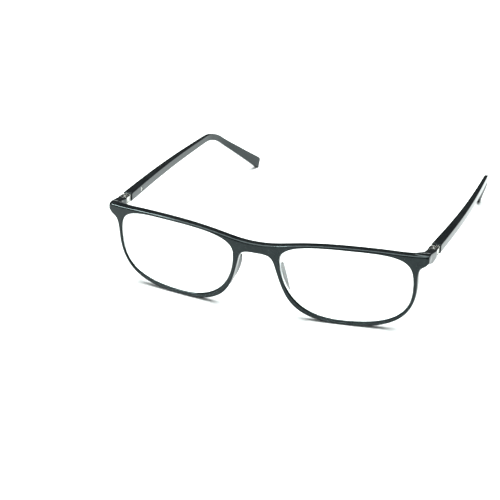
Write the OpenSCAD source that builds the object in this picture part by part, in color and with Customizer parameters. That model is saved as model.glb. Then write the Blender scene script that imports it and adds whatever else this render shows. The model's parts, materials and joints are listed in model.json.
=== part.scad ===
// Folding reading glasses with spring hinges, standing on the rims and the temple tips.
// Left and right are the wearer's: the lenses face -Y and the wearer's left is +X.
// Shapes are drawn level, with the temples along +Y and the origin at the middle of the front,
// and stand() then leans them back on to the surface z = 0.

/* [Front] */
// Width over the end pieces
front_w = 136.4; // [135.6:0.2:137.4]
// Radius of the front's wrap, seen from above
wrap_r = 258; // [235:1:290]
// Lean of the front: its lower edge is further back
tilt = 10.6; // [8:0.2:12]
// Thickness of the rims, front to back
rim_depth = 3.4; // [3:0.1:3.8]
// Width of the rim beside the lens
rim_side = 1.45; // [1.3:0.05:1.6]
// Width of the rim under the lens
rim_low = 1.8; // [1.6:0.05:2.2]
// Height of the bridge
bridge_h = 4.15; // [3.8:0.05:4.6]

/* [Lenses] */
// Width of a lens opening
lens_w = 52.8; // [52.2:0.1:53.2]
// Height of a lens opening
lens_h = 32.5; // [30:0.1:34]
// Gap between the two lens openings
lens_gap = 19.7; // [19.4:0.1:20]
// Thickness of a lens
lens_t = 2; // [1.8:0.1:2.2]

/* [Temples] */
// Width of a temple at its front end
temple_w = 4.1; // [3.9:0.1:4.2]
// Height of a temple at its front end
temple_h = 3.8; // [3.6:0.1:4]
// Straight length from the front end to the middle of the bend
arm_len = 93.6; // [90:0.2:96]
// How far the arm bows outwards at its middle
arm_bow = 1.4; // [0.8:0.1:1.6]
// How far the arm rises from its front end to the bend
arm_rise = 0.6; // [0.3:0.1:0.9]
// Length of the ear piece from the middle of the bend
ear_len = 44.8; // [42:0.2:45]
// Angle at which the ear piece drops
ear_drop = 33; // [31:0.5:35]
// How far the ear piece turns in towards the head
ear_in = 16.2; // [13:0.1:17]

/* [Hinges] */
// Distance of the fold axis from the middle plane
pivot_x = 66.9; // [66.8:0.1:66.9]
// Distance of the fold axis behind the middle of the front
pivot_y = 22.6; // [22.6:0.1:23]
// Height of the hinge barrel
barrel_h = 3.4; // [3.2:0.05:3.4]
// Radius of the hinge knuckles
knuckle_r = 1.95; // [1.85:0.05:1.95]
// Radius of the hinge screw's shank
screw_r = 0.55; // [0.45:0.05:0.6]
// Radius of the hinge screw's head
head_r = 1; // [0.9:0.05:1.1]
// Number of active turns of the hinge spring
spring_turns = 9; // [7:1:11]

/* [Hidden] */
$fn = 64;

// Clearances: running fit on the screw, seated parts, gap beside a knuckle
run_fit = 0.03;
seat_fit = 0.02;
side_gap = 0.05;

// Lens opening seen square on: its four outermost points
lens_x = lens_gap / 2;
lens_top_z = -1.56;
lens_top = [lens_x + 0.63 * lens_w, lens_top_z];
lens_side = [lens_x + lens_w, lens_top_z - 0.376 * lens_h];
lens_low = [lens_x + 0.45 * lens_w, lens_top_z - lens_h];
lens_nose = [lens_x, lens_top_z - 0.273 * lens_h];
groove = 0.5;
groove_t = 1.2;
lens_set_back = 0.7;
groove_y = lens_set_back + 0.4;
loop_steps = 24;

// Outline of the front seen square on
half_w = front_w / 2;
brow_z = -0.4;
bridge_top_z = -4.45;
bridge_low_z = bridge_top_z - bridge_h;
end_top_z = -1.1;
rim_low_z = lens_low.y - rim_low;

// End piece, level: rear face, its inner and outer faces there, and underside
end_rear_y = 20.2;
end_inner_x = pivot_x - knuckle_r - 0.1;
end_outer_x = pivot_x + knuckle_r + 0.05;
end_low_z = -5.7;

// Hinge, level, and the middle of the temple's front end
temple_x = pivot_x + 0.17;
barrel_top_z = -1.65;
barrel_low_z = barrel_top_z - barrel_h;
rod_z = (barrel_top_z + barrel_low_z) / 2;
tongue_h = 1.4;
head_h = 0.5;
flange_y = pivot_y + knuckle_r + side_gap;
flange_t = 0.75;
flange_w = 3.1;
temple_y = flange_y + flange_t;
housing_h = 2;
housing_w = 2;
housing_end_y = temple_y + 12.4;
housing_x0 = pivot_x - housing_w / 2;
trough_h = 1.56;
trough_end_y = temple_y + 9;
rod_r = 0.42;
rod_end_y = trough_end_y - 0.9;
spring_r = 0.6;
spring_wire_r = 0.12;
retainer_t = 0.8;
rivet_r = 0.5;
rivet_y = 17.4;
pin_y = housing_end_y - 1.4;

// Temple, level: top of its front end and of the bend, radius of the bend, size of the tip
temple_top_z = -1.26;
bend_top_z = temple_top_z + arm_rise;
bend_r = 27;
corner_y = temple_y + arm_len;
tip_h = 5.5;
tip_w = 2.4;
tip_round = 1.5;

// ---- Functions ----

// Cubic curve from p to q with control points a and b; the end point is left out
function curve(p, a, b, q, n) = [
    for (i = [0:n - 1])
        let (t = i / n)
        pow(1 - t, 3) * p + 3 * t * pow(1 - t, 2) * a + 3 * t * t * (1 - t) * b + pow(t, 3) * q
];

// Quarter of a lens outline between a top or bottom point and a side point
function near_flat(flat, side, along) = [flat.x + along * (side.x - flat.x), flat.y];
function near_side(flat, side, up) = [side.x, side.y + up * (flat.y - side.y)];
function quarter(flat, side, along, up) =
    curve(flat, near_flat(flat, side, along), near_side(flat, side, up), side, loop_steps);
function quarter_back(side, flat, up, along) =
    curve(side, near_side(flat, side, up), near_flat(flat, side, along), flat, loop_steps);
lens_loop = concat(
    quarter(lens_top, lens_side, 0.82, 0.76),
    quarter_back(lens_side, lens_low, 0.91, 0.52),
    quarter(lens_low, lens_nose, 0.79, 0.44),
    quarter_back(lens_nose, lens_top, 0.51, 0.94)
);

// Loop with each point moved outwards by d; the loop runs clockwise
function grown(loop, d) = [
    for (i = [0:len(loop) - 1])
        let (run = loop[(i + 1) % len(loop)] - loop[(i + len(loop) - 1) % len(loop)])
        loop[i] + d * [-run.y, run.x] / norm(run)
];

// Right half of the front's outline, from the bridge's top round to its underside
rim_side_pt = [lens_side.x + rim_side, lens_side.y];
rim_low_pt = [lens_low.x, rim_low_z];
rim_nose_pt = [lens_nose.x - 2.3, lens_nose.y - 2.1];
half_outline = concat(
    curve([0, bridge_top_z], [12.5, bridge_top_z], [16, brow_z], [43, brow_z], 24),
    curve([43, brow_z], [55, brow_z], [56, end_top_z], [half_w - 1.5, end_top_z], 12),
    curve([half_w - 1.5, end_top_z], [half_w - 0.6, end_top_z], [half_w, -1.7], [half_w, -2.8], 6),
    curve([half_w, -2.8], [half_w, -4.9], [half_w - 1.1, -5.6], [half_w - 2.3, -6.3], 8),
    curve([half_w - 2.3, -6.3], [half_w - 3.5, -7.1], [rim_side_pt.x + 0.1, -8.4], rim_side_pt, 10),
    curve(rim_side_pt, rim_side_pt - [0, 19.8], rim_low_pt + [16, 0], rim_low_pt, 30),
    curve(rim_low_pt, rim_low_pt - [21, 0], rim_nose_pt + [3.6, -12.9], rim_nose_pt, 30),
    curve(rim_nose_pt, rim_nose_pt + [-1.1, 3.9], [4.6, bridge_low_z], [0, bridge_low_z], 14),
    [[0, bridge_low_z]]
);
outline = concat(
    half_outline,
    [for (i = [len(half_outline) - 2:-1:1]) [-half_outline[i].x, half_outline[i].y]]
);

// How far back the wrapped front is at x
function wrap_y(x) = x * x / (2 * wrap_r);

// A point seen square on, laid on the leaning, wrapped front
function laid(loop) = [for (p = loop) [p.x, (p.y - wrap_y(p.x) * sin(tilt)) / cos(tilt)]];

// Temple: size at the bend, tangent length of the bend
bend_w = 1.75;
bend_h = 3.1;
bend_run = bend_r * tan(ear_drop / 2);
bend_steps = 8;
arm_steps = 10;
ear_steps = 10;

// The ear piece turns in gradually over its first stretch: how far in and at what angle at y
turn_start = corner_y - bend_run;
turn_run = 20.8;
function turned_in(y) =
    let (run = max(0, y - turn_start))
    tan(ear_in) * (run < turn_run ? run * run / (2 * turn_run) : run - turn_run / 2);
function turn_angle(y) = atan(tan(ear_in) * min(1, max(0, y - turn_start) / turn_run));

// Middle line of a temple seen from above: the arm bows outwards, the ear piece turns in
function middle_x(y) = temple_x + arm_bow * sin(180 * min(1, (y - temple_y) / arm_len)) - turned_in(y);

// Middle line of the ear piece, s along it from the corner of the bend
function ear_point(s) =
    let (y = corner_y + s * cos(ear_drop))
    [middle_x(y), y, bend_top_z - bend_h / 2 - s * sin(ear_drop)];

// Rings of a temple: [point, drop angle, turn-in angle, width, height]
arm_rings = [
    for (i = [0:arm_steps])
        let (t = i / arm_steps, y = temple_y + t * (arm_len - bend_run))
        let (w = temple_w + (bend_w - temple_w) * t, h = temple_h + (bend_h - temple_h) * t * t)
        [[middle_x(y), y, temple_top_z + arm_rise * t - h / 2], 0, 0, w, h]
];
bend_rings = [
    for (i = [1:bend_steps])
        let (a = ear_drop * i / bend_steps, y = turn_start + bend_r * sin(a))
        [
            [middle_x(y), y, bend_top_z - bend_h / 2 - bend_r * (1 - cos(a))],
            a,
            turn_angle(y),
            bend_w,
            bend_h
        ]
];
ear_rings = [
    for (i = [1:ear_steps])
        let (t = i / ear_steps, p = ear_point(bend_run + t * (ear_len - tip_round - bend_run)))
        [p, ear_drop, turn_angle(p.y), bend_w + (tip_w - bend_w) * t, bend_h + (tip_h - bend_h) * pow(t, 1.3)]
];
tip_rings = [
    for (a = [36, 60, 80])
        let (p = ear_point(ear_len - tip_round * (1 - sin(a))))
        [p, ear_drop, turn_angle(p.y), tip_w - 1.2 * (1 - cos(a)), tip_h - 1.8 * tip_round * (1 - cos(a))]
];
temple_rings = concat(arm_rings, bend_rings, ear_rings, tip_rings);

// Rounded rectangle of unit half size in 20 points
section_n = 20;
section = [
    for (i = [0:section_n - 1])
        let (c = cos(360 * i / section_n), s = -sin(360 * i / section_n))
        [sign(c) * pow(abs(c), 0.25), sign(s) * pow(abs(s), 0.25)]
];

// Points of one temple ring
function ring(r) = [
    for (p = section)
        let (across = p.x * r[3] / 2, up = p.y * r[4] / 2)
        r[0] + across * [cos(r[2]), sin(r[2]), 0] + up * [0, sin(r[1]), cos(r[1])]
];

// Faces of a closed sweep of m rings with n points each
function sweep_faces(m, n) = concat(
    [[for (i = [0:n - 1]) i]],
    [
        for (j = [0:m - 2])
            for (i = [0:n - 1])
                let (next = (i + 1) % n)
                [j * n + i, (j + 1) * n + i, (j + 1) * n + next, j * n + next]
    ],
    [[for (i = [n - 1:-1:0]) (m - 1) * n + i]]
);

// Lean that puts the underside of the rounded tips level with the underside of the rims; the tip's
// upper corner is tip_overhang further back than the middle of its end
tip_overhang = 1.23;
tip_low = ear_point(ear_len - 0.41 * tip_round) - 0.452 * tip_h * [0, sin(ear_drop), cos(ear_drop)];
rim_foot = [lens_low.x, wrap_y(lens_low.x) - rim_low_z * tan(tilt), rim_low_z];
lean = atan2(tip_low.z - rim_foot.z, tip_low.y - rim_foot.y);
stand_z = rim_foot.y * sin(lean) - rim_foot.z * cos(lean);
front_y = -bridge_top_z * tan(tilt) * cos(lean) + bridge_top_z * sin(lean);
tip_end = ear_point(ear_len);
rear_y = tip_end.y * cos(lean) + tip_end.z * sin(lean) + tip_overhang;
middle_y = (front_y + rear_y) / 2;

// ---- Placing ----

// Leans the level glasses back so that they stand on z = 0
module stand() {
    translate([0, -middle_y, stand_z]) rotate([-lean, 0, 0]) children();
}

// Puts a shape drawn for the wearer's left side on side s: 1 left, -1 right
module on_side(s) {
    if (s > 0) stand() children();
    else stand() mirror([1, 0, 0]) children();
}

// Upright bar of the outline in the leaning plane of the front
module front_prism(loop, y0, y1) {
    translate([0, y1, 0]) rotate([90, 0, 0]) linear_extrude(y1 - y0) polygon(laid(loop));
}

// Curved sheet that follows the wrap, from depth a to depth b behind the front's surface
module wrap_sheet(a, b) {
    translate([0, wrap_r, 0]) difference() {
        cylinder(r = wrap_r - a, h = 120, center = true, $fn = 360);
        cylinder(r = wrap_r - b, h = 121, center = true, $fn = 360);
    }
}

// Part of a leaning prism between two depths of the wrap
module wrapped(loop, a, b) {
    intersection() {
        front_prism(loop, -8, 24);
        wrap_sheet(a, b);
    }
}

function flipped(loop) = [for (i = [len(loop) - 1:-1:0]) [-loop[i].x, loop[i].y]];

// ---- Front ----

// End piece behind the front, on the wearer's left, level
module end_block() {
    x = end_inner_x;
    plan = concat(
        [[half_w, 10.2], [end_outer_x, end_rear_y], [x, end_rear_y]],
        curve([x, 16.8], [x, 13.4], [x - 2.4, 11.6], [x - 7, 10.3], 12),
        [[x - 7, 9.6]]
    );
    profile = concat(
        [[9.6, -0.95], [12.6, -0.6], [end_rear_y, barrel_top_z]],
        curve([end_rear_y, -4.5], [end_rear_y, -5.1], [19.2, end_low_z + 0.3], [15.6, end_low_z], 8),
        [[15.6, end_low_z], [12.4, -4.9], [9.6, -3.6]]
    );
    intersection() {
        translate([0, 0, -8]) linear_extrude(10) polygon(plan);
        rotate([90, 0, 90]) linear_extrude(80) polygon(profile);
    }
}

// Slot in the end piece for the leaf's tang, and the rivet's hole from the inner face
module leaf_pocket() {
    translate([pivot_x - 0.8, 15.4, rod_z - 1]) cube([1.6, end_rear_y - 15.4 + 1, 2]);
    translate([pivot_x - 3, rivet_y, rod_z]) rotate([0, 90, 0]) cylinder(r = rivet_r, h = 4.2);
}

// Moulded nose pad on the wearer's left, level
module nose_pad() {
    hull() {
        translate([9.4, 6, -12.4]) sphere(r = 0.9, $fn = 24);
        translate([9.2, 10.1, -13.8]) sphere(r = 0.9, $fn = 24);
        translate([9.7, 10.9, -16]) sphere(r = 1, $fn = 24);
        translate([10.3, 11, -18.6]) sphere(r = 1, $fn = 24);
        translate([11.3, 10.6, -21.6]) sphere(r = 1, $fn = 24);
        translate([12.7, 9.4, -24.6]) sphere(r = 0.9, $fn = 24);
        translate([13.1, 7, -25]) sphere(r = 0.8, $fn = 24);
    }
}

module front_frame() {
    color([0.05, 0.055, 0.06]) stand() {
        difference() {
            union() {
                rotate([tilt, 0, 0]) wrapped(outline, 0, rim_depth);
                for (s = [0, 1]) mirror([s, 0, 0]) end_block();
                for (s = [0, 1]) mirror([s, 0, 0]) nose_pad();
            }
            rotate([tilt, 0, 0]) {
                front_prism(lens_loop, -8, 24);
                front_prism(flipped(lens_loop), -8, 24);
                wrapped(grown(lens_loop, groove), groove_y, groove_y + groove_t);
                wrapped(flipped(grown(lens_loop, groove)), groove_y, groove_y + groove_t);
            }
            for (s = [0, 1]) mirror([s, 0, 0]) leaf_pocket();
        }
    }
}

// Lens with the rib that sits in the rim's groove
module lens(s) {
    rib = groove_y + seat_fit;
    color([0.85, 0.92, 0.95, 0.35]) on_side(s) rotate([tilt, 0, 0]) {
        wrapped(grown(lens_loop, -seat_fit), lens_set_back, lens_set_back + lens_t);
        wrapped(grown(lens_loop, groove - seat_fit), rib, rib + groove_t - 2 * seat_fit);
    }
}
module lens_left() lens(1);
module lens_right() lens(-1);

// ---- Hinge, front side ----

// Plan of the leaf: a round knuckle on a square block
module knuckle_plan() {
    circle(r = knuckle_r);
    translate([-knuckle_r, end_rear_y - pivot_y]) square([2 * knuckle_r, pivot_y - end_rear_y]);
}

module hinge_leaf(s) {
    tongue_gap = tongue_h + 2 * side_gap;
    color([0.72, 0.72, 0.70]) on_side(s) {
        difference() {
            union() {
                translate([pivot_x, pivot_y, barrel_low_z]) linear_extrude(barrel_h) knuckle_plan();
                translate([pivot_x - 0.78, 15.45, rod_z - 0.98]) cube([1.56, end_rear_y - 15.45 + 0.4, 1.96]);
            }
            translate([pivot_x - 4, pivot_y - knuckle_r - 0.2, rod_z - tongue_gap / 2])
                cube([8, 8, tongue_gap]);
            translate([pivot_x, pivot_y, barrel_low_z - 1]) cylinder(r = screw_r + run_fit, h = barrel_h + 2);
            translate([pivot_x, pivot_y, barrel_top_z - head_h]) cylinder(r = head_r + run_fit, h = 2);
            translate([pivot_x - 3, rivet_y, rod_z]) rotate([0, 90, 0]) cylinder(r = rivet_r, h = 6);
        }
    }
}
module hinge_leaf_left() hinge_leaf(1);
module hinge_leaf_right() hinge_leaf(-1);

module leaf_rivet(s) {
    color([0.66, 0.66, 0.65]) on_side(s)
        translate([end_inner_x, rivet_y, rod_z]) rotate([0, 90, 0])
            cylinder(r = rivet_r - seat_fit, h = pivot_x + 1.15 - end_inner_x);
}
module leaf_rivet_left() leaf_rivet(1);
module leaf_rivet_right() leaf_rivet(-1);

// Slotted screw, the fold axis
module hinge_screw(s) {
    color([0.78, 0.78, 0.77]) on_side(s) translate([pivot_x, pivot_y, 0]) {
        difference() {
            union() {
                translate([0, 0, barrel_low_z]) cylinder(r = screw_r, h = barrel_h - head_h + 0.1);
                translate([0, 0, barrel_top_z - head_h + side_gap]) cylinder(r = head_r, h = head_h);
            }
            translate([-2, -0.14, barrel_top_z - 0.18]) cube([4, 0.28, 1]);
        }
    }
}
module hinge_screw_left() hinge_screw(1);
module hinge_screw_right() hinge_screw(-1);

// ---- Hinge, temple side ----

// Middle knuckle with the rod that slides in the housing
module hinge_tongue(s) {
    color([0.70, 0.70, 0.69]) on_side(s) difference() {
        union() {
            translate([pivot_x, pivot_y, rod_z - tongue_h / 2])
                cylinder(r = knuckle_r - side_gap, h = tongue_h);
            translate([pivot_x, pivot_y + 1, rod_z]) rotate([-90, 0, 0])
                cylinder(r = rod_r, h = rod_end_y - pivot_y - 1);
        }
        translate([pivot_x, pivot_y, rod_z - 2]) cylinder(r = screw_r + run_fit, h = 4);
    }
}
module hinge_tongue_left() hinge_tongue(1);
module hinge_tongue_right() hinge_tongue(-1);

// Box with a rounded rear end: grow widens it all round for the pocket in the temple
module housing_box(grow) {
    round_r = housing_h / 2 + grow;
    translate([housing_x0 - grow, 0, 0]) {
        translate([0, temple_y, rod_z - round_r])
            cube([housing_w + 2 * grow, housing_end_y - housing_h / 2 - temple_y, 2 * round_r]);
        translate([0, housing_end_y - housing_h / 2, rod_z]) rotate([0, 90, 0])
            cylinder(r = round_r, h = housing_w + 2 * grow);
    }
}

// Housing: flange, box, trough for the spring open towards the temple, slot for the rod
module spring_housing(s) {
    color([0.74, 0.74, 0.73]) on_side(s) difference() {
        union() {
            translate([temple_x - flange_w / 2, flange_y, barrel_low_z]) cube([flange_w, flange_t, barrel_h]);
            housing_box(0);
        }
        translate([pivot_x - trough_h / 2, temple_y, rod_z - trough_h / 2])
            cube([housing_w, trough_end_y - temple_y, trough_h]);
        translate([pivot_x, flange_y - 1, rod_z]) rotate([-90, 0, 0])
            cylinder(r = rod_r + run_fit, h = flange_t + 2);
        translate([pivot_x - 4, pin_y, rod_z]) rotate([0, 90, 0]) cylinder(r = rivet_r, h = 8);
    }
}
module spring_housing_left() spring_housing(1);
module spring_housing_right() spring_housing(-1);

// Coil spring round the rod, between the flange and the retainer
module hinge_spring(s) {
    y0 = temple_y + spring_wire_r + seat_fit;
    y1 = rod_end_y - retainer_t - spring_wire_r - seat_fit;
    sides = 8;
    per_turn = 12;
    rings = spring_turns * per_turn;
    points = [
        for (j = [0:rings])
            let (a = 360 * j / per_turn, out = [cos(a), 0, sin(a)])
            for (i = [0:sides - 1])
                let (b = 360 * i / sides)
                [pivot_x, y0 + (y1 - y0) * j / rings, rod_z]
                    + (spring_r + spring_wire_r * cos(b)) * out + [0, spring_wire_r * sin(b), 0]
    ];
    color([0.60, 0.61, 0.62]) on_side(s) polyhedron(points, sweep_faces(rings + 1, sides));
}
module hinge_spring_left() hinge_spring(1);
module hinge_spring_right() hinge_spring(-1);

// Collar fixed on the rod's end
module spring_retainer(s) {
    color([0.66, 0.66, 0.65]) on_side(s)
        translate([pivot_x, rod_end_y - retainer_t, rod_z]) rotate([-90, 0, 0]) difference() {
            cylinder(r = trough_h / 2 - side_gap, h = retainer_t);
            translate([0, 0, -1]) cylinder(r = rod_r + seat_fit, h = retainer_t + 2);
        }
}
module spring_retainer_left() spring_retainer(1);
module spring_retainer_right() spring_retainer(-1);

module housing_pin(s) {
    color([0.68, 0.68, 0.67]) on_side(s)
        translate([housing_x0, pin_y, rod_z]) rotate([0, 90, 0]) cylinder(r = rivet_r - seat_fit, h = 2.7);
}
module housing_pin_left() housing_pin(1);
module housing_pin_right() housing_pin(-1);

// Opening in the temple's inner face over the housing's rounded end
module window() {
    round_r = housing_h / 2 + seat_fit;
    end_y = housing_end_y - housing_h / 2;
    translate([housing_x0 - 2, 0, 0]) {
        translate([0, end_y - 1, rod_z - round_r]) cube([3, 1, 2 * round_r]);
        translate([0, end_y, rod_z]) rotate([0, 90, 0]) cylinder(r = round_r, h = 3);
    }
}

// Temple: arm, bend and ear piece in one sweep, with the pocket for the housing
module temple(s) {
    color([0.05, 0.055, 0.06]) on_side(s) difference() {
        polyhedron([for (r = temple_rings) each ring(r)], sweep_faces(len(temple_rings), section_n));
        housing_box(seat_fit);
        window();
        translate([pivot_x, temple_y - 1, rod_z]) rotate([-90, 0, 0]) cylinder(r = 0.6, h = 2);
        translate([housing_x0, pin_y, rod_z]) rotate([0, 90, 0]) cylinder(r = rivet_r, h = 2.75);
    }
}
module temple_left() temple(1);
module temple_right() temple(-1);

front_frame();
lens_left();
lens_right();
hinge_leaf_left();
hinge_leaf_right();
leaf_rivet_left();
leaf_rivet_right();
hinge_screw_left();
hinge_screw_right();
hinge_tongue_left();
hinge_tongue_right();
spring_housing_left();
spring_housing_right();
hinge_spring_left();
hinge_spring_right();
spring_retainer_left();
spring_retainer_right();
housing_pin_left();
housing_pin_right();
temple_left();
temple_right();
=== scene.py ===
"""Reading glasses: the finished pieces, materials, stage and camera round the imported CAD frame.

Shapes are worked out level, in millimetres, for the wearer's left side (+X), with the temples
along +Y and the origin at the middle of the front. LEVEL then takes them to the frame in metres.
"""

import json
import math

import bmesh
import bpy
import numpy as np
from mathutils import Matrix, Vector


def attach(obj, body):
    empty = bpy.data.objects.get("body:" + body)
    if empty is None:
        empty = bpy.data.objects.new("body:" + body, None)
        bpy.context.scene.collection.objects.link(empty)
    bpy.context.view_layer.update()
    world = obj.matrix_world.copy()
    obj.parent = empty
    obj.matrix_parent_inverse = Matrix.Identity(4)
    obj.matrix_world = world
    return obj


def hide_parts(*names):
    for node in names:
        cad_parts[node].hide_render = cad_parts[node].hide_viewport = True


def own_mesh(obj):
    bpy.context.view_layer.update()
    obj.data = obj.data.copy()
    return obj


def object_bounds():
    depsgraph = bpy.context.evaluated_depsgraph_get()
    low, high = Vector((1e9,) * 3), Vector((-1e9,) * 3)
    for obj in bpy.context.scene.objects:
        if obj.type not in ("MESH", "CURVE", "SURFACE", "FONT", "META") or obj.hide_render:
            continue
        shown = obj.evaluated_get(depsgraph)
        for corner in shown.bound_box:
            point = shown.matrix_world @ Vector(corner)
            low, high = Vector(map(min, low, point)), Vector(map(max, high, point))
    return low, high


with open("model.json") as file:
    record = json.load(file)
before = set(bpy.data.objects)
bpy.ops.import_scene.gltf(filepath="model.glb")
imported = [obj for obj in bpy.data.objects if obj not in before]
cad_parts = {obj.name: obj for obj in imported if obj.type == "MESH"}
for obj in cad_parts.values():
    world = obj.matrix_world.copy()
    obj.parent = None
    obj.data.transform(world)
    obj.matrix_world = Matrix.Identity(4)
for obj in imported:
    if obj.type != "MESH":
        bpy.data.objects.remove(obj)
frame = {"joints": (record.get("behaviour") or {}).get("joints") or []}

CAD_BOX = [list(corner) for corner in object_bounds()]
MM = 0.001
LEFT, RIGHT = 1, -1
SIDES = {LEFT: "left", RIGHT: "right"}

# Front, in millimetres
FRONT_W = 136.4
WRAP_R = 258.0
TILT = math.radians(10.6)
RIM_DEPTH = 3.4
RIM_SIDE = 1.45
RIM_LOW = 1.8
BRIDGE_H = 4.15
HALF_W = FRONT_W / 2
BROW_Z = -0.4
BRIDGE_TOP_Z = -4.45
END_TOP_Z = -1.1
END_REAR_Y = 20.2
END_LOW_Z = -5.7

# Rounding of the front's edges, fillets where its parts meet, and the ribs that fill a nose pad
OUTER_ROUND = 0.7
OPENING_ROUND = 0.5
END_ROUND = 0.45
END_BLEND = 0.6
PAD_BLEND = 1.2
RIB_BLEND = 0.5
PAD_RIBS = 18
PAD_R = 0.75

# The front's mesh: how far in the end pieces and how far out the nose pads reach, cell size,
# fineness of the outlines, and the box that it is looked for in
END_REACH = 14.0
NOSE_REACH = 22.0
NET_STEP = 0.28
FINE = 1.6
LOOP_STEPS = 24
NET_LOW = np.array((-HALF_W - 1.0, -1.5, -38.6))
NET_HIGH = np.array((HALF_W + 1.0, 21.5, 1.2))

# Lenses
LENS_W = 52.8
LENS_H = 32.5
LENS_GAP = 19.7
LENS_T = 2.0
LENS_SET_BACK = 0.7
LENS_TOP_Z = -1.56
GROOVE = 0.5
GROOVE_T = 1.2
LENS_BEVEL = 0.15
LENS_RIB_H = GROOVE * 0.86
FRONT_BULGE = 0.6
BACK_BULGE = 0.15
LENS_STEPS = 36
LENS_RINGS = 24

# Hinges: fold axis, leaf, screw, tongue, then the housing and what it holds
PIVOT_X = 66.9
PIVOT_Y = 22.6
BARREL_H = 3.4
BARREL_TOP_Z = -1.65
BARREL_LOW_Z = BARREL_TOP_Z - BARREL_H
ROD_Z = (BARREL_TOP_Z + BARREL_LOW_Z) / 2
KNUCKLE_R = 1.95
END_INNER_X = PIVOT_X - KNUCKLE_R - 0.1
END_OUTER_X = PIVOT_X + KNUCKLE_R + 0.05
SCREW_R = 0.55
HEAD_R = 1.0
HEAD_H = 0.5
SIDE_GAP = 0.05
RUN_FIT = 0.03
SEAT_FIT = 0.02
METAL_CHAMFER = 0.08
LEAF_EDGE = 0.07
HOUSING_EDGE = 0.06
DRIVER_SLOT_W = 0.28
DRIVER_SLOT_DEPTH = 0.18
TANG_W = 1.56
TANG_H = 1.96
TANG_Y = 15.45
TONGUE_H = 1.4
FLANGE_Y = PIVOT_Y + KNUCKLE_R + SIDE_GAP
FLANGE_T = 0.75
FLANGE_W = 3.1
TEMPLE_X = PIVOT_X + 0.17
TEMPLE_Y = FLANGE_Y + FLANGE_T
HOUSING = 2.0
HOUSING_END_Y = TEMPLE_Y + 12.4
HOUSING_X0 = PIVOT_X - HOUSING / 2
ROUND_END_Y = HOUSING_END_Y - HOUSING / 2
TROUGH = 1.56
TROUGH_END_Y = TEMPLE_Y + 9.0
ROD_R = 0.42
ROD_END_Y = TROUGH_END_Y - 0.9
SPRING_R = 0.6
SPRING_WIRE_R = 0.12
SPRING_TURNS = 9
RETAINER_T = 0.8
RIVET_R = 0.5
RIVET_Y = 17.4
RIVET_END_X = PIVOT_X + 1.15
PIN_Y = HOUSING_END_Y - 1.4
PIN_LENGTH = 2.7

# Temples: sections at the front end, bend and tip, then the arm with its bow and rise, the ear piece
# with its drop and turn-in, and the number of sections along each stretch
TEMPLE_W = 4.1
TEMPLE_H = 3.8
BEND_W = 1.75
BEND_H = 3.1
TIP_W = 2.4
TIP_H = 5.5
TIP_ROUND = 1.5
TIP_NARROWING = 1.2
TIP_LOWERING = 1.8 * TIP_ROUND
ARM_LEN = 93.6
ARM_BOW = 1.38
ARM_RISE = 0.6
EAR_LEN = 44.75
EAR_DROP = math.radians(33.0)
EAR_IN = math.radians(16.2)
BEND_R = 27.0
TURN_RUN = 20.8
TEMPLE_TOP_Z = -1.26
BEND_TOP_Z = TEMPLE_TOP_Z + ARM_RISE
CORNER_Y = TEMPLE_Y + ARM_LEN
BEND_RUN = BEND_R * math.tan(EAR_DROP / 2)
TURN_START = CORNER_Y - BEND_RUN
SECTION_N = 48
SECTION_POWER = 0.25
ARM_STEPS = 60
BEND_STEPS = 16
EAR_STEPS = 24


# ---- Frame ----

def level_matrix():
    """Takes level millimetres to the frame, from the place and direction of the left fold axis."""
    fold = next(j for j in frame["joints"] if j["name"] == "left_fold")
    up = Vector(fold["axis"]).normalized()
    across = Vector((1, 0, 0))
    turn = Matrix((across, up.cross(across), up)).transposed() * MM
    move = Vector(fold["pos_m"]) - turn @ Vector((PIVOT_X, PIVOT_Y, ROD_Z))
    return Matrix.Translation(move) @ turn.to_4x4()


LEVEL = level_matrix()


# ---- Outlines of the front, seen square on ----

def curve(start, pull_a, pull_b, end, steps):
    """Cubic curve from start to end with two control points; the end point is left out."""
    t = np.linspace(0, 1, steps, endpoint=False)[:, None]
    points = [np.asarray(p, float) for p in (start, pull_a, pull_b, end)]
    shares = [(1 - t) ** 3, 3 * t * (1 - t) ** 2, 3 * t * t * (1 - t), t ** 3]
    return sum(share * point for share, point in zip(shares, points))


def lens_corners():
    """The four outermost points of a lens opening: top, side, low and nose."""
    x = LENS_GAP / 2
    return (
        np.array((x + 0.63 * LENS_W, LENS_TOP_Z)),
        np.array((x + LENS_W, LENS_TOP_Z - 0.376 * LENS_H)),
        np.array((x + 0.45 * LENS_W, LENS_TOP_Z - LENS_H)),
        np.array((x, LENS_TOP_Z - 0.273 * LENS_H)),
    )


def quarter_pulls(flat, side, along, up):
    """Control points of a quarter of a lens opening, between a top or bottom point and a side point."""
    pull_a = (flat[0] + along * (side[0] - flat[0]), flat[1])
    pull_b = (side[0], side[1] + up * (flat[1] - side[1]))
    return pull_a, pull_b


def lens_loop(steps):
    """Outline of the left lens opening, clockwise from its top."""
    top, side, low, nose = lens_corners()
    parts = []
    for flat, edge, along, up, back in (
        (top, side, 0.82, 0.76, False),
        (low, side, 0.91, 0.52, True),
        (low, nose, 0.79, 0.44, False),
        (top, nose, 0.51, 0.94, True),
    ):
        near_flat, near_edge = quarter_pulls(flat, edge, along, up)
        if back:
            parts.append(curve(edge, near_edge, near_flat, flat, steps))
        else:
            parts.append(curve(flat, near_flat, near_edge, edge, steps))
    return np.vstack(parts)


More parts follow.
